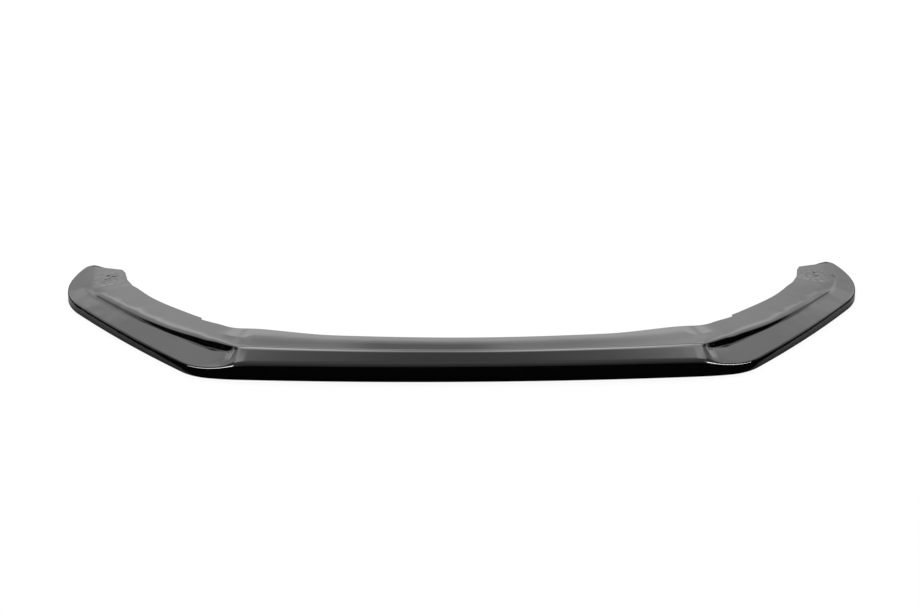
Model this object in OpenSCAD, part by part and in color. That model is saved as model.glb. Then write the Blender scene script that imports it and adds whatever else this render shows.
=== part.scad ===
// Front splitter lip for a car: one moulded sheet of ABS, open underneath.
// Millimetres. +X is the car's right, +Y runs back from the front edge, +Z is up.
// The sheet stands on the lower rim of its skirt at z = 0.
// The front edge is a chain of arcs in plan. Ribs stand across it, each rib carries one
// section of the sheet, and the skin runs from section to section from tip to tip.

/* [Front edge in plan] */
// Length of the edge from the middle of the lip to where the crease begins
front_run = 466; // [380:1:560]
// Turn of the edge over that length, degrees
front_turn = 4; // [1:0.5:8]
// Length of the edge across the crease
crease_run = 61; // [40:1:80]
// Turn of the edge across the crease, degrees
crease_turn = 7; // [4:0.5:12]
// Length of the bend into the wing
bend_run = 69; // [50:1:110]
// Turn of the bend, degrees
bend_turn = 33; // [20:0.5:40]
// Length of the nearly straight wing
wing_run = 388; // [300:1:480]
// Turn of the edge along the wing, degrees
wing_turn = 7; // [4:0.5:14]
// Length of the round side of the tip
tip_run = 156; // [120:1:200]
// Turn of the round side of the tip, degrees
tip_turn = 46.5; // [30:0.5:56]
// Length of the edge from the round side to the rear corner
end_run = 64; // [50:1:100]
// Turn over that length, degrees
end_turn = 16; // [8:0.5:24]
// Radius of the rear corner of the tip
corner_r = 20; // [14:1:34]
// Turn of the rear corner, degrees
corner_turn = 61.5; // [40:0.5:70]

/* [Widths across the ribs] */
// Slope between the front edge and the ridge, at the middle
slope_w = 33; // [26:1:46]
// The same, where the crease begins
slope_crease_w = 44; // [34:1:56]
// Blade between the edge and the wall, where the bend is widest
blade_bend_w = 73.5; // [62:0.5:84]
// Blade halfway along the wing
blade_w = 53; // [42:0.5:62]
// Blade at the side of the tip
blade_tip_w = 52; // [42:0.5:62]
// Flange behind the ridge, at the middle
flange_w = 71.5; // [56:0.5:86]
// Flange where the crease begins
flange_crease_w = 95.5; // [78:0.5:110]
// Flange along the wing
flange_wing_w = 66; // [54:1:78]
// Flange at the rear corner of the tip
flange_end_w = 61; // [50:1:70]
// How far the wing's flange steps back at the notch in its rear edge
notch_w = 7; // [3:0.5:12]
// Distance from the bend to the notch, along the edge
notch_run = 101; // [60:1:150]

/* [Heights] */
// Skirt at the front, from the rim to the top of its rolled edge
front_h = 37; // [30:0.5:44]
// Skirt along the wing
wing_h = 21; // [16:0.5:26]
// Skirt at the rear corner of the tip
end_h = 25.5; // [18:0.5:28]
// Top of the ridge along the middle
ridge_h = 54; // [48:0.5:64]
// Flange behind the ridge, lower than the ridge by this much
shelf_drop = 5; // [2:0.25:8]
// Top of the wing's flange, halfway along the wing
wing_top_h = 40; // [34:0.5:46]
// Top of the flange at the rear corner of the tip
end_top_h = 29; // [27:0.5:36]
// Tallest part of the wall, in the scoop behind the crease
scoop_h = 18.5; // [13:0.5:21]
// Wall along the wing
wall_h = 12; // [8:0.5:14]
// Wall where it fades out at the rear corner
end_wall_h = 2.5; // [2:0.5:4]

/* [Sheet] */
// Thickness of the sheet
sheet_t = 4; // [3:0.25:5]
// Draft of the skirt, degrees
skirt_draft = 4; // [1:0.5:8]
// How far the rounding of the skirt's top edge runs from its corner, at the front
front_round = 8; // [5:0.5:11]
// The same along the wing
wing_round = 8; // [5:0.5:9]
// How far the rounding at the foot of the wall runs from its corner
foot_round = 2; // [1:0.5:5]
// How far the rounding of the ridge runs from its corner
ridge_round = 9; // [5:0.5:12]
// The same along the wing
wing_ridge_round = 5; // [4:0.5:9]
// How far the hollow behind the ridge runs, from its corner
hollow_round = 22; // [12:1:28]

/* [Screw holes] */
// Diameter of the hole near each tip
hole_d = 5; // [4:0.1:7]
// Diameter of the countersink on top of the hole
sink_d = 10; // [8:0.5:13]
// Depth of the countersink
sink_depth = 1.6; // [0.8:0.1:2.4]
// Distance from the hole to the rear corner, along the edge
hole_back = 59; // [46:1:80]
// Distance from the hole to the rear edge of the flange, along its rib
hole_in = 42; // [24:1:44]

/* [Hidden] */

// Arcs of the front edge from the middle outwards, each with its length and its turn.
arcs = [
    [front_run, front_turn],
    [crease_run, crease_turn],
    [bend_run, bend_turn],
    [wing_run, wing_turn],
    [tip_run, tip_turn],
    [end_run, end_turn]
];
corner_run = corner_r * corner_turn * PI / 180;

// Point reached from p, starting at heading h, after an arc of the given length and turn.
function arc_to(p, h, run, turn) =
    abs(turn) < 0.001
    ? p + run * [cos(h), sin(h)]
    : p + run * 180 / (PI * turn) * [sin(h + turn) - sin(h), cos(h) - cos(h + turn)];

// Start of arc n: [length so far, heading, point].
function arc_start(n) =
    n == 0
    ? [0, 0, [0, 0]]
    : let (a = arc_start(n - 1), run = arcs[n - 1][0], turn = arcs[n - 1][1])
      [a[0] + run, a[1] + turn, arc_to(a[2], a[1], run, turn)];
starts = [for (n = [0:len(arcs)]) arc_start(n)];
edge_end = starts[len(arcs)];
edge_len = edge_end[0];
s_crease = starts[1][0];
s_bend = starts[2][0];
s_wing = starts[3][0];
s_tip = starts[4][0];
s_side = starts[5][0];
s_notch = s_wing + notch_run;

// Number of the arc that holds the length s.
function arc_of(s, n = 5) = n == 0 || s >= starts[n][0] ? n : arc_of(s, n - 1);

// Heading of the edge at the length s.
function heading(s) =
    s < 0 ? -heading(-s)
    : s >= edge_len ? edge_end[1]
    : let (n = arc_of(s)) starts[n][1] + arcs[n][1] * (s - starts[n][0]) / arcs[n][0];

// Point of the edge at the length s. Left of the middle it is mirrored, and past its end
// it runs straight on, so that a rib there still has a chord to stand on.
function edge_pt(s) =
    s < 0 ? let (p = edge_pt(-s)) [-p[0], p[1]]
    : s >= edge_len ? edge_end[2] + (s - edge_len) * [cos(edge_end[1]), sin(edge_end[1])]
    : let (n = arc_of(s), done = s - starts[n][0])
      arc_to(starts[n][2], starts[n][1], done, arcs[n][1] * done / arcs[n][0]);

// Each rib stands square to the chord that spans this much of the edge to either side.
rib_span = 120;
function chord_heading(s) =
    let (d = edge_pt(s + rib_span) - edge_pt(s - rib_span)) atan2(d[1], d[0]);

// Smooth monotone curve through the rows [s, value, ...] of a table, for column c.
function slope(t, c, i) = (t[i + 1][c] - t[i][c]) / (t[i + 1][0] - t[i][0]);
function tangent(t, c, i) =
    i == 0 || i == len(t) - 1 ? 0
    : let (a = slope(t, c, i - 1), b = slope(t, c, i)) a * b <= 0 ? 0 : 2 * a * b / (a + b);
function row_of(t, s, i) = i == 0 || s >= t[i][0] ? i : row_of(t, s, i - 1);
function along(t, c, s) =
    let (
        i = row_of(t, s, len(t) - 2),
        span = t[i + 1][0] - t[i][0],
        f = min(1, max(0, (s - t[i][0]) / span)),
        g = 1 - f
    )
    t[i][c] * g * g * (1 + 2 * f) + t[i + 1][c] * f * f * (1 + 2 * g)
    + span * f * g * (tangent(t, c, i) * g - tangent(t, c, i + 1) * f);

// Widths along the edge: [s, slope or blade, flange].
widths = [
    [-s_crease, slope_crease_w, flange_crease_w],
    [0, slope_w, flange_w],
    [0.6 * s_crease, slope_w + 5, flange_w + 3.5],
    [s_crease, slope_crease_w, flange_crease_w],
    [s_bend + 0.55 * bend_run, blade_bend_w, flange_crease_w - 25],
    [s_wing + 0.35 * wing_run, blade_w + 4, flange_wing_w + 3],
    [s_wing + 0.7 * wing_run, blade_w, flange_wing_w - 0.5],
    [s_tip, blade_w, flange_wing_w + 7],
    [s_tip + 0.35 * tip_run, blade_w + 2, flange_wing_w + 8.5],
    [s_tip + 0.85 * tip_run, blade_tip_w, flange_wing_w + 5],
    [s_side + 0.5 * end_run, 0.75 * blade_tip_w, flange_end_w + 9],
    [edge_len, 0.5 * blade_tip_w, flange_end_w + 1.5],
    [edge_len + 0.8 * corner_run, 0.27 * blade_tip_w, flange_end_w - 0.5],
    [edge_len + corner_run, 0.17 * blade_tip_w, flange_end_w - 4]
];

// Heights along the edge: [s, skirt, top, wall, run of the wall, share of the wall, drop].
// The run of the wall is its width across the rib. It grows towards the tip, where the wall
// lies down and fades out.
scoop_at = s_bend + 0.4 * bend_run;
// The scoop opens at a point on the slope, this far below the ridge.
pinch_h = 4.5;
heights = [
    [0, front_h, ridge_h, pinch_h, 2 * pinch_h, 0, shelf_drop],
    [s_crease - 0.2 * crease_run, front_h - 1, ridge_h, pinch_h, 2 * pinch_h, 0, shelf_drop],
    [s_crease + 0.13 * crease_run, front_h - 3, ridge_h, pinch_h, 2 * pinch_h, 0.6, shelf_drop],
    [s_crease + 0.32 * crease_run, front_h - 5.5, ridge_h, pinch_h, 2 * pinch_h, 1, shelf_drop],
    [s_crease + 0.48 * crease_run, front_h - 7.5, ridge_h, 0.45 * scoop_h, 6.5, 1, shelf_drop],
    [s_crease + 0.7 * crease_run, front_h - 9.5, ridge_h - 0.5, 0.76 * scoop_h, 5, 1, shelf_drop],
    [scoop_at, (front_h + wing_h) / 2 - 6, ridge_h - 3, scoop_h, 5, 1, shelf_drop / 5],
    [s_wing, wing_h, ridge_h - 6, 0.9 * scoop_h, 4.5, 1, 0],
    [s_wing + 0.3 * wing_run, wing_h, wing_top_h + 3, wall_h - 0.5, 3.5, 1, 0],
    [s_wing + 0.8 * wing_run, wing_h, wing_top_h - 3, 0.7 * wall_h, 5, 1, 0],
    [s_tip + 0.05 * tip_run, wing_h, end_top_h + 6, 0.63 * wall_h, 8, 1, 0],
    [s_tip + 0.4 * tip_run, wing_h, end_top_h + 4, 0.47 * wall_h, 12, 1, 0],
    [s_side, wing_h + 1.5, end_top_h + 2, 0.32 * wall_h, 13, 1, 0],
    [edge_len, end_h, end_top_h, end_wall_h, 12, 1, 0],
    [edge_len + corner_run, (end_h + end_top_h) / 2 - 1.25, end_top_h - 2, 0.4 * end_wall_h, 0.06 * blade_tip_w, 1, 0]
];

function mix(a, b, f) = a * (1 - f) + b * f;
function unit(v) = v / norm(v);

// Corner points of one section, [distance along the rib, height]: rim, skirt top,
// foot of the wall, ridge, end of the hollow, rear edge. In the middle of the lip the
// foot lies on the straight slope, and along the wing it stands below the ridge.
function section(s) =
    let (
        q = abs(s),
        d = along(widths, 1, q),
        f = along(widths, 2, q),
        h = along(heights, 1, q),
        top = along(heights, 2, q),
        w = along(heights, 3, q),
        lean = along(heights, 4, q),
        share = along(heights, 5, q),
        drop = along(heights, 6, q),
        past_notch = q > s_notch ? notch_w : 0,
        skirt_top = [h * tan(skirt_draft), h],
        ridge = [d, top],
        on_slope = mix(ridge, skirt_top, 0.35),
        below = [d - lean, top - w],
        hollow_end = [d + 0.5 * f, top - drop]
    )
    [[0, 0], skirt_top, mix(on_slope, below, share), ridge, hollow_end,
     [d + f + past_notch, top - drop]];

// The same points moved into the sheet by its thickness, square to both neighbouring sides.
// Where the rib isn't square to the edge, the skirt's thickness is stretched along the rib.
function right_of(a, b) = let (u = unit(b - a)) [u[1], -u[0]];
function inside(v, stretch) =
    let (n = [for (i = [0:len(v) - 2]) right_of(v[i], v[i + 1])])
    [for (i = [0:len(v) - 1])
        i == 0 ? [sheet_t * stretch / n[0][0], 0]
        : i == len(v) - 1 ? v[i] - [0, sheet_t]
        : let (m = sheet_t * (n[i - 1] + n[i]) / (1 + n[i - 1] * n[i]))
          i == 1 ? v[i] + [m[0] * stretch, m[1]] : v[i] + m];

// Line through the corner points with each inner corner rounded by n + 1 points of a
// parabola, which starts the length cut before the corner and ends as far behind it.
function rounded(v, cuts, n) =
    [v[0],
     for (i = [1:len(v) - 2])
        let (
            before = v[i - 1] - v[i],
            after = v[i + 1] - v[i],
            a = unit(before) * min(cuts[i], 0.45 * norm(before)),
            b = unit(after) * min(cuts[i], 0.45 * norm(after))
        )
        for (k = [0:n]) let (f = k / n) v[i] + a * (1 - f) * (1 - f) + b * f * f,
     v[len(v) - 1]];

// Roundings at the six corner points, at the length s.
function cuts(s) =
    let (share = along(heights, 5, abs(s)))
    [0, mix(front_round, wing_round, share), foot_round,
     mix(ridge_round, wing_ridge_round, share), mix(hollow_round, foot_round, share), 0];

outer_steps = 3;
inner_steps = 2;
// One closed loop of the section at s: up the outside and back along the inside.
function loop(s) =
    let (v = section(s), skew = cos(rib_heading(s) - outline_heading(s)))
    concat(rounded(v, cuts(s), outer_steps),
           rounded(inside(v, 1 / skew), cuts(s), inner_steps));

// Rib and outline with the rounded rear corner added to the edge.
function corner_share(s) = min(1, max(0, (abs(s) - edge_len) / corner_run));
function outline_heading(s) =
    let (q = abs(s)) sign(s) * (q <= edge_len ? heading(q) : edge_end[1] + corner_turn * corner_share(q));
function outline_pt(s) =
    abs(s) <= edge_len ? edge_pt(s)
    : let (f = corner_share(s), p = arc_to(edge_end[2], edge_end[1], corner_run * f, corner_turn * f))
      [sign(s) * p[0], p[1]];
// Direction in plan of the tip's rear edge, as a heading to which its rib is square.
rear_edge_turn = 9;
function rib_heading(s) =
    let (q = abs(s), at_end = edge_end[1] + rear_edge_turn)
    sign(s) * mix(chord_heading(min(q, edge_len)), at_end, corner_share(q));

// Places of the ribs, close together where the form turns.
function places(a, b, n) = [for (i = [1:n]) a + (b - a) * i / n];
half = concat(
    places(0, s_crease - 0.5 * crease_run, 8),
    places(s_crease - 0.5 * crease_run, s_crease + 0.3 * crease_run, 5),
    places(s_crease + 0.3 * crease_run, s_bend, 9),
    places(s_bend, s_wing, 9),
    places(s_wing, s_notch - 1, 5),
    [s_notch + 4],
    places(s_notch + 4, s_tip, 11),
    places(s_tip, s_side, 10),
    places(s_side, edge_len, 5),
    places(edge_len, edge_len + corner_run, 5)
);
ribs = concat([for (i = [len(half) - 1:-1:0]) -half[i]], [0], half);

// Point of the skin: p is [distance along the rib, height].
function on_rib(s, p) =
    let (o = outline_pt(s), b = rib_heading(s)) [o[0] - p[0] * sin(b), o[1] + p[0] * cos(b), p[1]];

// Whole depth, so that the origin can stand at the middle of the footprint.
depth = max([for (s = half) outline_pt(s)[1]]);
// Place of the screw hole on its rib, right-hand side.
hole_s = edge_len - hole_back;
hole_section = section(hole_s);
hole_pt = on_rib(hole_s, hole_section[5] - [hole_in, 0]);

// Skin of the sheet: loops of points joined by pairs of triangles and closed by the two ends.
module sheet() {
    loops = [for (s = ribs) [for (p = loop(s)) on_rib(s, p)]];
    n_out = 4 * (outer_steps + 1) + 2;
    n_in = 4 * (inner_steps + 1) + 2;
    n = n_out + n_in;
    m = len(ribs);
    // the inside is listed from the rim too, so its order is turned round
    order = concat([for (i = [0:n_out - 1]) i], [for (i = [n - 1:-1:n_out]) i]);
    polyhedron(
        points = [for (l = loops) each l],
        faces = concat(
            [for (j = [0:m - 2], i = [0:n - 1])
                let (a = order[i], b = order[(i + 1) % n], j0 = j * n, j1 = (j + 1) * n)
                each [[j0 + a, j1 + a, j1 + b], [j0 + a, j1 + b, j0 + b]]],
            [[for (i = [0:n - 1]) order[i]]],
            [[for (i = [n - 1:-1:0]) (m - 1) * n + order[i]]]
        )
    );
}

// Countersunk screw holes through the flange, one near each tip.
module screw_holes() {
    for (side = [-1, 1])
        translate([side * hole_pt[0], hole_pt[1], 0]) {
            cylinder(d = hole_d, h = ridge_h + 10, $fn = 48);
            translate([0, 0, hole_pt[2] - sink_depth])
                cylinder(d1 = hole_d, d2 = sink_d, h = sink_depth, $fn = 48);
            translate([0, 0, hole_pt[2]]) cylinder(d = sink_d, h = 10, $fn = 48);
        }
}

module splitter_lip() {
    color([0.06, 0.06, 0.065])
        translate([0, -depth / 2, 0])
            difference() {
                sheet();
                screw_holes();
            }
}

splitter_lip();
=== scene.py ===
import math

import bpy
import numpy as np
from mathutils import Matrix


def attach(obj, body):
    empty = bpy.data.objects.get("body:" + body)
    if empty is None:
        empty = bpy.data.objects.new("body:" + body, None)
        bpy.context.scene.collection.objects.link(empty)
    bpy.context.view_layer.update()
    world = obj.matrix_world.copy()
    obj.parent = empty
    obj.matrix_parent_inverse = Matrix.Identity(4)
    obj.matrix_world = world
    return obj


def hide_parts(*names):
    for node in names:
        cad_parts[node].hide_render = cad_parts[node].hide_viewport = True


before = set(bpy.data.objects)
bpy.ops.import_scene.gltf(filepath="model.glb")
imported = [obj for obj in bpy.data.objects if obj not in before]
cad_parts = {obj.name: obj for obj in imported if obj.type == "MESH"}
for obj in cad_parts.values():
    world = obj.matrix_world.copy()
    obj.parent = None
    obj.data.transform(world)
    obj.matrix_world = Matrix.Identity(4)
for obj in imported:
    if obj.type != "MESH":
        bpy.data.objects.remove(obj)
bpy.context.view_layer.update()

# The sheet. One moulded sheet of gloss black ABS, 4 mm thick and open underneath: a skirt, a slope or
# blade, a wall with the scoops, a ridge and a flat flange behind it. It is formed in one piece, with a
# countersunk screw hole near each tip. Its sizes are in mm and degrees, and its points in metres.
THICK = 4
DRAFT = 4
RIB_SPAN = 120
REAR_EDGE_TURN = 9
NOTCH_STEP = 7
CORNER_RADIUS, CORNER_TURN = 20, 61.5
# length and turn of each arc of the front edge, from the middle out to the rear corner
ARCS = np.array([(466, 4), (61, 7), (69, 33), (388, 7), (156, 46.5), (64, 16)], float)


def arc_to(point, heading, run, turn):
    """Point reached from point, starting at heading h, after an arc of length run and turn t: a chord of
    a circle of radius run / t, which is (sin(h + t) - sin h, cos h - cos(h + t)) times the radius."""
    turn = np.where(np.abs(turn) < 1e-3, 1e-3, turn)
    radius = run / np.radians(turn)
    a, b = np.radians(heading), np.radians(heading + turn)
    return point + np.stack([radius * (np.sin(b) - np.sin(a)), radius * (np.cos(a) - np.cos(b))], -1)


starts = [(0.0, 0.0, np.zeros(2))]
for run, turn in ARCS:
    length, heading, point = starts[-1]
    starts.append((length + run, heading + turn, arc_to(point, heading, run, turn)))
LENGTHS = np.array([start[0] for start in starts])
HEADINGS = np.array([start[1] for start in starts])
POINTS = np.array([start[2] for start in starts])
CREASE, BEND, WING, TIP, SIDE, EDGE = LENGTHS[1:]
CORNER_RUN = CORNER_RADIUS * math.radians(CORNER_TURN)
END = EDGE + CORNER_RUN
NOTCH = WING + 101


def edge_point(s):
    """Point of the front edge at length s: the chain of arcs, mirrored for s below 0, and straight on
    past its end."""
    a = np.abs(s)
    n = np.clip(np.searchsorted(LENGTHS, a, side="right") - 1, 0, len(ARCS) - 1)
    done = np.minimum(a, EDGE) - LENGTHS[n]
    p = arc_to(POINTS[n], HEADINGS[n], np.maximum(done, 1e-9), ARCS[n, 1] * done / ARCS[n, 0])
    way = np.radians(HEADINGS[-1])
    p = p + np.maximum(a - EDGE, 0)[..., None] * np.array([np.cos(way), np.sin(way)])
    return p * np.stack([np.where(s < 0, -1.0, 1.0), np.ones_like(a)], -1)


def corner_share(s):
    """How far s is round the rear corner, from 0 to 1."""
    return np.clip((s - EDGE) / CORNER_RUN, 0, 1)


def outline_point(s):
    """The front edge with the rear corner, one more arc, added past its end."""
    part = corner_share(s)
    corner = arc_to(POINTS[-1], HEADINGS[-1], CORNER_RUN * part + 1e-9, CORNER_TURN * part)
    return np.where((s > EDGE)[..., None], corner, edge_point(np.minimum(s, EDGE)))


def outline_heading(s):
    """Heading of the outline at s, which grows evenly along each arc and round the rear corner."""
    return np.interp(s, LENGTHS, HEADINGS) + CORNER_TURN * corner_share(s)


def rib_heading(s):
    """Heading of the rib at s: that of the edge's chord from a rib span before to a rib span after s,
    and round the rear corner it turns to that of the tip's rear edge."""
    a = np.minimum(s, EDGE)
    chord = edge_point(a + RIB_SPAN) - edge_point(a - RIB_SPAN)
    part = corner_share(s)
    rear = HEADINGS[-1] + REAR_EDGE_TURN
    return np.degrees(np.arctan2(chord[..., 1], chord[..., 0])) * (1 - part) + rear * part


def along(rows, column, s):
    """Smooth monotone curve through a table's rows: cubic Hermite pieces, each inner tangent the
    harmonic mean of the slopes before and after it."""
    x, y = rows[:, 0], rows[:, column]
    slopes = np.diff(y) / np.diff(x)
    before, after = slopes[:-1], slopes[1:]
    same = before * after > 0
    tangent = np.zeros(len(x))
    tangent[1:-1] = np.where(same, 2 * before * after / np.where(same, before + after, 1), 0)
    i = np.clip(np.searchsorted(x, s, side="right") - 1, 0, len(x) - 2)
    span = x[i + 1] - x[i]
    f = np.clip((s - x[i]) / span, 0, 1)
    g = 1 - f
    curve = y[i] * g * g * (1 + 2 * f) + y[i + 1] * f * f * (1 + 2 * g)
    return curve + span * f * g * (tangent[i] * g - tangent[i + 1] * f)


# length along the edge, width of the slope or blade, width of the flange
WIDTHS = np.array([
    (-CREASE, 44, 95.5), (0, 33, 71.5), (0.6 * CREASE, 38, 75), (CREASE, 44, 95.5),
    (BEND + 38, 73.5, 70.5), (WING + 136, 57, 69), (WING + 272, 53, 65.5), (TIP, 53, 73),
    (TIP + 55, 55, 74.5), (TIP + 133, 52, 71), (SIDE + 32, 39, 70), (EDGE, 26, 62.5),
    (END - 0.2 * CORNER_RUN, 14, 60.5), (END, 8.8, 57)])
# length along the edge, skirt, top, wall, run of the wall, share of the wall, drop of the flange
HEIGHTS = np.array([
    (0, 37, 54, 4.5, 9, 0, 5),
    (CREASE - 150, 36.5, 54, 4.5, 9, 0, 5),
    (CREASE - 12.2, 35, 54, 4.5, 9, 0, 5),
    (CREASE + 7.9, 32.7, 54, 4.5, 9, 0.6, 5),
    (CREASE + 19.5, 30, 53.8, 6, 8, 1, 4.9),
    (CREASE + 29.3, 27.8, 53.1, 10.5, 6.5, 1, 4.4),
    (CREASE + 42.7, 25.5, 52, 14, 5, 1, 3.7),
    (BEND + 27.6, 21.8, 49.2, 16, 5, 1, 1.4),
    (WING, 20.5, 46.5, 15.1, 4.5, 1, 0),
    (WING + 116.4, 20.6, 42.4, 10.9, 3.5, 1, 0),
    (WING + 310.4, 21, 37, 8.4, 5, 1, 0),
    (TIP + 7.8, 21, 35, 7.6, 8, 1, 0),
    (TIP + 62.4, 21, 33, 5.6, 12, 1, 0),
    (SIDE, 22.5, 31, 3.8, 13, 1, 0),
    (EDGE, 25.5, 29, 2.5, 12, 1, 0),
    (END, 26, 27, 1, 3.1, 1, 0)])
# where the foot of the wall lies on the straight slope, as a share of the way from ridge to skirt
FOOT_PLACE = 0.35


def section(s):
    """Corner points of the section at s, (distance along the rib, height): rim, skirt top, foot of the
    wall, ridge, end of the hollow, rear edge. The foot goes from the straight slope to its place below
    the ridge by the share of the wall, and the rear edge steps back past the notch."""
    wide, flange = (along(WIDTHS, n, s) for n in (1, 2))
    skirt, top, wall, lean, share, drop = (along(HEIGHTS, n, s) for n in range(1, 7))
    rim = np.zeros((len(s), 2))
    skirt_top = np.stack([skirt * math.tan(math.radians(DRAFT)), skirt], -1)
    ridge = np.stack([wide, top], -1)
    below = np.stack([wide - lean, top - wall], -1)
    part = share[:, None]
    foot = ((1 - FOOT_PLACE) * ridge + FOOT_PLACE * skirt_top) * (1 - part) + below * part
    hollow = np.stack([wide + 0.5 * flange, top - drop], -1)
    step = np.clip((s - NOTCH + 1) / 5, 0, 1)
    rear = np.stack([wide + flange + NOTCH_STEP * step * step * (3 - 2 * step), top - drop], -1)
    return np.stack([rim, skirt_top, foot, ridge, hollow, rear], 1)


def inside(v, stretch):
    """The corner points moved into the sheet by its thickness, square to both neighbouring sides, and
    stretched along the rib at the skirt."""
    side = np.diff(v, axis=1)
    side /= np.linalg.norm(side, axis=2, keepdims=True)
    n = np.stack([side[..., 1], -side[..., 0]], -1)
    out = v.copy()
    out[:, 0, 0] = THICK * stretch / n[:, 0, 0]
    m = THICK * (n[:, :-1] + n[:, 1:]) / (1 + (n[:, :-1] * n[:, 1:]).sum(-1, keepdims=True))
    m[:, 0, 0] *= stretch
    out[:, 1:-1] += m
    out[:, -1, 1] -= THICK
    return out


# the most of a side that the rounding of each inner corner may take, before and after the corner
MOST_BEFORE = (0.45, 0.45, 0.54, 0.58)
MOST_AFTER = (0.45, 0.45, 0.78, 0.95)
# the steps of a rounding are even but for the ridge's, which crowd towards the wall
CROWDING = (1, 1, 1.5, 1)


def straight(start, end, count):
    """That many points evenly between two points, without the two."""
    f = np.arange(1, count + 1)[None, :, None] / (count + 1)
    return start[:, None] * (1 - f) + end[:, None] * f


def rounded(v, before, after, steps, flats):
    """Line through the corner points: each inner corner c is a parabola c + a (1 - f)^2 + b f^2 that
    starts the cut a before it and ends the cut b after it, and a side has flats points between them."""
    line, last = [v[:, :1]], v[:, 0]
    for i in range(4):
        corner = v[:, i + 1]
        back, ahead = v[:, i] - corner, v[:, i + 2] - corner
        back_length, ahead_length = np.linalg.norm(back, axis=1), np.linalg.norm(ahead, axis=1)
        a = back * (np.minimum(before[:, i], MOST_BEFORE[i] * back_length) / back_length)[:, None]
        b = ahead * (np.minimum(after[:, i], MOST_AFTER[i] * ahead_length) / ahead_length)[:, None]
        f = (np.linspace(0, 1, steps[i] + 1) ** CROWDING[i])[None, :, None]
        bend = corner[:, None] + a[:, None] * (1 - f) ** 2 + b[:, None] * f ** 2
        line += [straight(last, bend[:, 0], flats[i]), bend]
        last = bend[:, -1]
    return np.concatenate(line + [straight(last, v[:, 5], flats[4]), v[:, 5:]], 1)


# places of the ribs along the right half, close together where the form turns
right = np.unique(np.concatenate([
    np.linspace(0, CREASE - 40, 50), np.linspace(CREASE - 40, WING, 110), np.linspace(WING, NOTCH - 1, 26),
    np.linspace(NOTCH - 1, NOTCH + 4, 7), np.linspace(NOTCH + 4, TIP, 60), np.linspace(TIP, SIDE - 8, 44),
    np.linspace(SIDE - 8, SIDE + 18, 19), np.linspace(SIDE + 18, EDGE, 18), np.linspace(EDGE, END, 18)]))
# cuts of the roundings at the skirt top, the foot of the wall, the ridge and the end of the hollow
share = along(HEIGHTS, 5, right)
on_wing = np.clip((right - WING - 150) / 120, 0, 1)
skirt_cut = 8 - 3.4 * np.clip((right - CREASE) / 30, 0, 1)
foot_cut = 2 + 6 * on_wing
wall_cut = 9 * (1 - share) + (3.8 + 3.2 * on_wing) * share
crest_cut = 9 * (1 - share) + (26 - 14 * np.clip((right - TIP - 60) / 60, 0, 1)) * share
hollow_cut = 32 * (1 - share) + 2 * share
before = np.stack([skirt_cut, foot_cut, wall_cut, hollow_cut], -1)
after = np.stack([skirt_cut, foot_cut, crest_cut, hollow_cut], -1)
points = section(right)
stretch = 1 / np.cos(np.radians(rib_heading(right) - outline_heading(right)))
outer = rounded(points, before, after, (9, 9, 12, 6), (6, 6, 5, 8, 10))
inner = rounded(inside(points, stretch), before, after, (4, 4, 6, 6), (2, 3, 3, 8, 10))
loop = np.concatenate([outer, inner[:, ::-1]], 1)
middle = np.array([0, outline_point(np.linspace(EDGE, END, 6))[:, 1].max() / 2])


def on_ribs(s, section_points):
    """Section points (d, z) stood on the ribs, in metres: outline point less the middle of the plan,
    plus d times (-sin b, cos b), with b the rib's heading."""
    o, b = (outline_point(s) - middle)[:, None], np.radians(rib_heading(s))[:, None]
    d, z = section_points[..., 0], section_points[..., 1]
    return np.stack([o[..., 0] - d * np.sin(b), o[..., 1] + d * np.cos(b), z], -1) / 1000


half = on_ribs(right, loop)
whole = np.concatenate([(half * (-1, 1, 1))[:0:-1], half])
rows, columns = whole.shape[:2]
number = np.arange(rows * columns).reshape(rows, columns)
beside = np.roll(number, -1, axis=1)
quads = np.stack([number[:-1], number[1:], beside[1:], beside[:-1]], -1)
kept = np.ones(quads.shape[:2], bool)

# near each tip a block of cells, 12 ribs long and 8 points wide, makes way for the screw hole
HOLE_RADIUS, SINK_RADIUS, SINK_DEPTH = 2.5, 5, 1.6
HOLE_BACK, HOLE_IN = 59.0, 42
BLOCK_RIBS, BLOCK_POINTS = 6, 4
hole_place = np.array([EDGE - HOLE_BACK])
seat = on_ribs(hole_place, section(hole_place)[:, 5:6] - (HOLE_IN, 0))[0, 0]
near = np.abs(right - hole_place).argmin()
first_row, last_row = near - BLOCK_RIBS, near + BLOCK_RIBS
from_seat = np.linalg.norm(half[near, :, :2] - seat[:2], axis=1)
top_column = from_seat[:outer.shape[1]].argmin()
low_column = outer.shape[1] + from_seat[outer.shape[1]:].argmin()


def rim(column, way):
    """Rows and columns once round the block about a column; way is 1 on the top side and -1 on the
    low side, where the columns run back."""
    r, c = np.arange(first_row, last_row), column + way * np.arange(-BLOCK_POINTS, BLOCK_POINTS)
    return (np.concatenate([r, 0 * c + last_row, r[::-1] + 1, 0 * c + first_row]),
            np.concatenate([0 * r + c[0], c, 0 * r + c[-1] + way, c[::-1] + way]))


def terms(x, y):
    """The terms 1, u, v, u u, u v and v v of a curved surface, with u and v from the hole in cm."""
    u, v = (x - seat[0]) * 100, (y - seat[1]) * 100
    return np.stack([u ** 0, u, v, u * u, u * v, v * v], -1)


def height(column, x, y):
    """Height at x, y of the side about a column: the sum of the terms that fits the block's points
    best, by least squares."""
    block = half[first_row:last_row + 1, column - BLOCK_POINTS:column + BLOCK_POINTS + 1].reshape(-1, 3)
    fit = np.linalg.lstsq(terms(block[:, 0], block[:, 1]), block[:, 2], rcond=None)[0]
    return terms(x, y) @ fit


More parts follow.
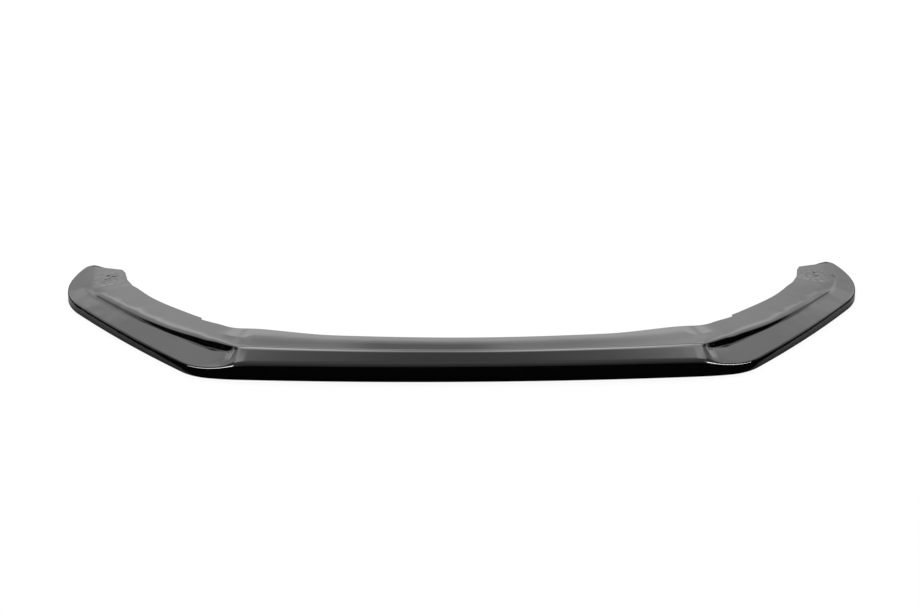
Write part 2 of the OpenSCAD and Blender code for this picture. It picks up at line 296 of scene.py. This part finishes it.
top_rim, low_rim = rim(top_column, 1), rim(low_column, -1)
around = half[top_rim]
angle = np.unwrap(np.arctan2(around[:, 1] - seat[1], around[:, 0] - seat[0]))
even = np.linspace(0, math.copysign(2 * math.pi, angle[-1] - angle[0]), len(angle), endpoint=False)
even += (angle - even).mean()


def ring(radius, top=0, low=0, drop=0.0):
    """Circle about the hole's axis, its height shared out between the top side, the low side and, for
    the rest, the countersink's cone, which falls evenly from its own radius to the hole's."""
    x, y = seat[0] + radius / 1000 * np.cos(even), seat[1] + radius / 1000 * np.sin(even)
    cone = seat[2] - SINK_DEPTH / 1000 * (SINK_RADIUS - radius) / (SINK_RADIUS - HOLE_RADIUS)
    z = top * height(top_column, x, y) + low * height(low_column, x, y) + (1 - top - low) * cone
    return np.stack([x, y, z - drop], -1)


# the rings go from the top side down the countersink and the bore to the low side, with soft edges
wide_top, wide_low = ring(5.5, top=1), ring(3.2, low=1)
rings = [0.5 * around + 0.5 * wide_top, wide_top, ring(5.15, top=1, drop=2e-5),
         ring(4.9, top=0.5, drop=1e-4), ring(4.5), ring(3.5), ring(2.7),
         ring(HOLE_RADIUS, drop=1e-4), ring(HOLE_RADIUS, low=1, drop=-3e-4),
         ring(2.65, low=1, drop=-5e-5), wide_low, 0.5 * wide_low + 0.5 * half[low_rim]]
new_points, patches = [], []
for side in (1, -1):
    base = rows * columns + len(rings) * len(even) * (side < 0)
    line = [number[len(right) - 1 + side * top_rim[0], top_rim[1]]]
    line += [base + k * len(even) + np.arange(len(even)) for k in range(len(rings))]
    line = np.array(line + [number[len(right) - 1 + side * low_rim[0], low_rim[1]]])
    ahead = np.roll(line, -1, axis=1)
    patches.append(np.stack([line[:-1], ahead[:-1], ahead[1:], line[1:]][::side], -1).reshape(-1, 4))
    new_points.append(np.concatenate(rings) * (side, 1, 1))
    first, last = sorted((len(right) - 1 + side * first_row, len(right) - 1 + side * last_row))
    for column in (top_column, low_column):
        kept[first:last, column - BLOCK_POINTS:column + BLOCK_POINTS] = False


def add_object(name, all_points, faces):
    """A new object at the origin, with its points in metres and its faces as lists of point numbers."""
    data = bpy.data.meshes.new(name)
    data.from_pydata(all_points.tolist(), [], faces)
    piece = bpy.data.objects.new(name, data)
    bpy.context.collection.objects.link(piece)
    return piece


ends = [number[0].tolist(), number[-1, ::-1].tolist()]
sheet = add_object("moulded_sheet", np.concatenate([whole.reshape(-1, 3)] + new_points),
                   np.concatenate([quads[kept]] + patches).tolist() + ends)
sheet.data.polygons.foreach_set("use_smooth", np.ones(len(sheet.data.polygons), bool))
sheet.data.set_sharp_from_angle(angle=math.radians(40))
sheet.data.update()


class Value:
    """A node's output socket that adds, subtracts, multiplies, divides and raises to a power."""

    def __init__(self, tree, socket):
        self.tree, self.socket = tree, socket

    def __add__(self, other):
        return maths(self.tree, "ADD", self, other)

    def __sub__(self, other):
        return maths(self.tree, "SUBTRACT", self, other)

    def __rsub__(self, other):
        return maths(self.tree, "SUBTRACT", other, self)

    def __mul__(self, other):
        return maths(self.tree, "MULTIPLY", self, other)

    def __truediv__(self, other):
        return maths(self.tree, "DIVIDE", self, other)

    def __pow__(self, other):
        return maths(self.tree, "POWER", self, other)

    __radd__, __rmul__ = __add__, __mul__


def make(tree, kind, settings, sockets, output=0):
    """Adds one node, sets its settings first and then its sockets' values or links, and returns one
    output. The setting stops gives a ramp's places and grey levels."""
    node = tree.nodes.new(kind)
    for name, value in settings.items():
        if name == "stops":
            ramp = node.color_ramp
            while len(ramp.elements) < len(value):
                ramp.elements.new(0.5)
            for element, (place, grey) in zip(ramp.elements, value):
                element.position, element.color = place, (grey, grey, grey, 1)
        else:
            setattr(node, name, value)
    for name, value in sockets.items():
        if isinstance(value, Value):
            tree.links.new(value.socket, node.inputs[name])
        else:
            node.inputs[name].default_value = value
    return Value(tree, node.outputs[output]) if node.outputs else None


def maths(tree, operation, *values):
    """One Math node on one or two values."""
    return make(tree, "ShaderNodeMath", {"operation": operation}, dict(enumerate(values)))


def fade(value, start, end):
    """Smooth step of a value from 0 at start to 1 at end: 3 t^2 - 2 t^3."""
    return make(value.tree, "ShaderNodeMapRange", {"interpolation_type": "SMOOTHSTEP"},
                {0: value, 1: start, 2: end, 3: 0.0, 4: 1.0})


def new_material(piece, name):
    """Gives a piece a new material in its next slot, with an empty node tree, and returns it."""
    material = bpy.data.materials.new(name)
    material.use_nodes = True
    material.node_tree.nodes.clear()
    piece.data.materials.append(material)
    return material


# black ABS under gloss: faint moulding waves that grow towards the tips, short pulls round the holes
# where the sheet shrank, and a haze in colour and gloss
tree = new_material(sheet, "gloss_black_abs").node_tree
place = make(tree, "ShaderNodeTexCoord", {}, {}, "Object")
waves = make(tree, "ShaderNodeTexNoise", {}, {
    "Vector": place, "Scale": 16.0, "Detail": 1.5, "Roughness": 0.5})
haze = make(tree, "ShaderNodeTexNoise", {}, {
    "Vector": place, "Scale": 45.0, "Detail": 4.0, "Roughness": 0.65})
pulls = make(tree, "ShaderNodeTexNoise", {}, {
    "Vector": place, "Scale": 36.0, "Detail": 0.0, "Roughness": 0.5, "Distortion": 2.0})
across, back = (make(tree, "ShaderNodeSeparateXYZ", {}, {0: place}, axis) for axis in "XY")
sideways = maths(tree, "ABSOLUTE", across)
tips = 0.12 + 0.58 * fade(sideways, 0.55, 0.80)
off_x, off_y = sideways - float(seat[0] - 0.006), back - float(seat[1] - 0.02)
near_hole = 1 - fade((off_x * off_x + off_y * off_y) ** 0.5, 0.012, 0.055)
bumps = make(tree, "ShaderNodeBump", {}, {
    "Strength": 1.0, "Distance": 0.002, "Height": tips * waves + near_hole * pulls}, "Normal")
black = make(tree, "ShaderNodeMix", {"data_type": "RGBA"}, {
    0: haze, 6: (0.001, 0.001, 0.0012, 1), 7: (0.0022, 0.0022, 0.0024, 1)}, 2)
surface = make(tree, "ShaderNodeBsdfPrincipled", {}, {
    "Base Color": black, "Roughness": 0.05 + 0.04 * haze, "IOR": 1.5, "Normal": bumps}, "BSDF")
make(tree, "ShaderNodeOutputMaterial", {}, {"Surface": surface})
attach(sheet, "root")
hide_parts("splitter_lip")

# The floor. A plain pale studio floor, 28 m wide. The camera and mirrored rays see it almost white,
# and the lip's soft shadow stays on it.
FLOOR_REACH = 14.0
floor_corners = FLOOR_REACH * np.array([(-1, -1, 0), (1, -1, 0), (1, 1, 0), (-1, 1, 0)])
floor = add_object("floor", floor_corners, [(0, 1, 2, 3)])


def white_rays(tree):
    """1 for camera, mirrored and refracted rays and 0 for the rest: the sum of three Light Path marks."""
    marks = ("Is Camera Ray", "Is Glossy Ray", "Is Transmission Ray")
    camera_ray, glossy_ray, clear_ray = (make(tree, "ShaderNodeLightPath", {}, {}, mark) for mark in marks)
    return camera_ray + glossy_ray + clear_ray


tree = new_material(floor, "pale_floor").node_tree
paint = make(tree, "ShaderNodeBsdfDiffuse", {}, {"Color": (0.9, 0.9, 0.9, 1)}, "BSDF")
white = make(tree, "ShaderNodeEmission", {}, {"Color": (1, 1, 1, 1), "Strength": 1.0}, "Emission")
mixed = make(tree, "ShaderNodeMixShader", {}, {0: 0.9 * white_rays(tree), 1: paint, 2: white}, "Shader")
make(tree, "ShaderNodeOutputMaterial", {}, {"Surface": mixed})

# The black card. A card lies on the floor round the lip, as in a studio, so that the skirt and the wall
# mirror dark. Beside the wings it is grey for up to 21 mm out from the lip, which the skirt's foot mirrors.
# Only mirrored rays see it.
CARD_LIFT = 0.0004


def beside_outline(s, out, z):
    """Points beside the outline, in metres: its point at s plus out times (sin w, -cos w), with w its
    heading, at height z."""
    p, w = (outline_point(s) - middle) / 1000, np.radians(outline_heading(s))
    return np.stack([p[..., 0] + out * np.sin(w), p[..., 1] - out * np.cos(w), z], -1)


def grid_faces(count, width):
    """Faces of a grid of count by width points."""
    cells = np.arange(count * width).reshape(count, width)
    return np.stack([cells[:-1, :-1], cells[1:, :-1], cells[1:, 1:], cells[:-1, 1:]], -1).reshape(-1, 4)


def mirrored_only(piece):
    """Hides a studio piece from all but mirrored rays."""
    piece.visible_camera = piece.visible_diffuse = piece.visible_transmission = piece.visible_shadow = False


card_run, card_line = np.meshgrid(np.linspace(0, END, 160), np.arange(5), indexing="ij")
edge = np.interp(card_run, [0, BEND + 20, WING + 10, WING + 120, TIP, END],
                 [0.001, 0.001, 0.012, 0.019, 0.021, 0.021])
out = np.choose(card_line, [0 * edge - 0.02, edge, edge + 0.004, edge + 0.4, edge + 7.0])
half_card = beside_outline(card_run, out, np.full_like(out, CARD_LIFT))
card_grid = np.concatenate([(half_card * (-1, 1, 1))[:0:-1], half_card])
card = add_object("floor_card", card_grid.reshape(-1, 3), grid_faces(*card_grid.shape[:2])[:, ::-1].tolist())
mirrored_only(card)
for name, level in (("grey_card", 0.35), ("black_card", 0.004)):
    tree = new_material(card, name).node_tree
    paper = make(tree, "ShaderNodeBsdfDiffuse", {}, {"Color": (level, level, level, 1)}, "BSDF")
    make(tree, "ShaderNodeOutputMaterial", {}, {"Surface": paper})
card.data.polygons.foreach_set("material_index", np.tile([0, 1, 1, 1], len(card_grid) - 1))

# The corner lights. A small bright strip stands 12 cm out from the bend on either side, low over the
# floor, and narrows towards the tip. It draws the white line on the front corner, and only mirrored
# rays see it.
STRIP_OUT = 0.12
STRIP_START, STRIP_END = CREASE + 45, WING + 60
strip_run, strip_side = np.meshgrid(np.linspace(STRIP_START, STRIP_END, 30), np.arange(2), indexing="ij")
low_side = np.interp(strip_run, [STRIP_START, STRIP_END], [0.065, 0.045])
tall = np.interp(strip_run, [STRIP_START, STRIP_END], [0.033, 0.010])
strip = beside_outline(strip_run, STRIP_OUT, low_side + tall * strip_side)
strip_faces = grid_faces(*strip.shape[:2])
strips = add_object("corner_lights", np.concatenate([strip * (-1, 1, 1), strip]).reshape(-1, 3),
                    np.concatenate([strip_faces, strip_faces + strip[..., 0].size]).tolist())
mirrored_only(strips)
bright = new_material(strips, "corner_glow")
bright.cycles.emission_sampling = "NONE"
tree = bright.node_tree
lit = make(tree, "ShaderNodeEmission", {}, {"Color": (1, 1, 1, 1), "Strength": 40.0}, "Emission")
make(tree, "ShaderNodeOutputMaterial", {}, {"Surface": lit})

# The studio's soft light. One wide curved diffuser, 9 m in radius, stands round and over the lip: bright
# behind it, dim overhead and nearly dark to its front. It is hidden from the camera, which sees the white
# room in its place.
DOME_RADIUS, DOME_FOOT = 9.0, -0.12
turns, rises = np.meshgrid(np.linspace(0, 2 * math.pi, 97), np.linspace(DOME_FOOT, math.pi / 2, 37))
dome_grid = DOME_RADIUS * np.stack([
    np.sin(turns) * np.cos(rises), np.cos(turns) * np.cos(rises), np.sin(rises)], -1)
dome = add_object("diffuser", dome_grid.reshape(-1, 3), grid_faces(*turns.shape).tolist())
dome.visible_camera = dome.visible_shadow = False
glow = new_material(dome, "diffuser_glow")
glow.cycles.emission_sampling = "NONE"
tree = glow.node_tree
place = make(tree, "ShaderNodeTexCoord", {}, {}, "Object")
x, y, z = (make(tree, "ShaderNodeSeparateXYZ", {}, {0: place}, axis) for axis in "XYZ")
up = maths(tree, "MAXIMUM", maths(tree, "MINIMUM", z / DOME_RADIUS, 1.0), 0.0)
rise = maths(tree, "ARCSINE", up) * (180 / math.pi)
bearing = maths(tree, "ARCTAN2", maths(tree, "ABSOLUTE", x), y) * (180 / math.pi)
# level of the light behind the lip at each rise over the floor, in degrees
LIGHT = [(0, 0.3), (5, 0.4), (8, 0.8), (11, 1.25), (14, 1.38), (18, 1.46), (22, 1.72), (25, 1.8),
         (29.5, 1.72), (33, 1.65), (39, 2.0), (44, 5.0), (51, 7.0), (58, 6.2), (63, 4.8), (67, 3.4),
         (70, 2.2), (74, 1.45), (82, 0.95), (90, 0.75)]
BRIGHTEST = max(level for angle, level in LIGHT)
stops = [(angle / 90, level / BRIGHTEST) for angle, level in LIGHT]
behind = BRIGHTEST * make(tree, "ShaderNodeValToRGB", {"stops": stops}, {0: rise / 90.0})


def between(value, start, full, leave, end):
    """1 from full to leave, fading to 0 at start and at end."""
    return fade(value, start, full) * (1 - fade(value, leave, end))


# a brighter band, at the rise that the flat flange mirrors
band = 0.9 * between(rise, 21.5, 25.0, 26.0, 29.5) * (1 - fade(bearing, 20.0, 29.0))
# low and straight behind it is dimmer, in two steps, for the hollow behind the ridge
away_from_middle = 0.45 * fade(bearing, 2.0, 5.0) + 0.55 * fade(bearing, 7.0, 14.0)
dim = 1 - (1 - away_from_middle) * 0.62 * (1 - fade(rise, 17.0, 27.0))
# straight behind and high up it is dimmer too, for the middle of the slope
dim = dim - 0.45 * (1 - fade(bearing, 1.0, 12.0)) * between(rise, 30.0, 40.0, 66.0, 76.0)
# its brightest rise is halved towards the sides, for the blades, and all but ends past them, for the scoops
halved = 0.5 * fade(bearing, 20.0, 32.0) + 0.42 * fade(bearing, 58.0, 70.0)
dim = dim * (1 - halved * between(rise, 36.0, 43.0, 55.0, 66.0))
# low and towards the sides it is a little dimmer, for the flanges of the tips
dim = dim - 0.22 * fade(bearing, 16.0, 24.0) * (1 - fade(rise, 19.0, 26.0))
# the bright part reaches round to the sides, further the higher it is
round_back = 1 - fade(bearing - 0.25 * rise - 20.0 * fade(rise, 52.0, 64.0), 42.0, 58.0)
# a soft patch at either side, and a faint glow in front
side = between(bearing, 30.0, 50.0, 78.0, 90.0) * between(rise, 2.0, 12.0, 20.0, 38.0)
front = fade(bearing, 100.0, 125.0) * fade(rise, 2.0, 9.0)
glowing = (behind + band) * dim * round_back + 0.75 * up * up * (1 - round_back) + 1.1 * side + 0.3 * front
light = make(tree, "ShaderNodeEmission", {}, {"Color": glowing, "Strength": 1.0}, "Emission")
make(tree, "ShaderNodeOutputMaterial", {}, {"Surface": light})

# The room. Plain white behind everything, for what the camera and mirrored rays see past the floor. It
# gives almost no light of its own.
room = bpy.data.worlds.new("room")
bpy.context.scene.world = room
room.use_nodes = True
tree = room.node_tree
tree.nodes.clear()
around = make(tree, "ShaderNodeBackground", {}, {
    "Color": (1, 1, 1, 1), "Strength": 0.03 + 0.97 * white_rays(tree)}, "Background")
make(tree, "ShaderNodeOutputWorld", {}, {"Surface": around})

# The camera. At the photograph's place: 3.3 m away, 24 degrees up and a little to the left, with the
# picture turned by half a degree. It looks at a point on the floor between the wings. Its focal length
# is given in pixels of the photograph.
PICTURE_WIDTH, FOCAL_LENGTH = 920, 1500
AWAY = 3.333
aim = np.array([-12.8, 370.5 - middle[1], 0]) / 1000
pitch, swing, roll = math.radians(24), math.radians(-2.10), math.radians(0.52)
away = np.array([math.sin(swing) * math.cos(pitch), -math.cos(swing) * math.cos(pitch), math.sin(pitch)])
level = np.array([math.cos(swing), math.sin(swing), 0.0])
over = np.cross(away, level)
stand = np.eye(4)
stand[:3, 0] = math.cos(roll) * level + math.sin(roll) * over
stand[:3, 1] = math.cos(roll) * over - math.sin(roll) * level
stand[:3, 2] = away
stand[:3, 3] = aim + AWAY * away
lens = bpy.data.cameras.new("camera")
lens.sensor_width = 36
lens.lens = lens.sensor_width * FOCAL_LENGTH / PICTURE_WIDTH
lens.clip_end = 100
camera = bpy.data.objects.new("camera", lens)
bpy.context.collection.objects.link(camera)
camera.matrix_world = Matrix(stand.tolist())
bpy.context.scene.camera = camera
bpy.context.scene.view_settings.view_transform = "Standard"
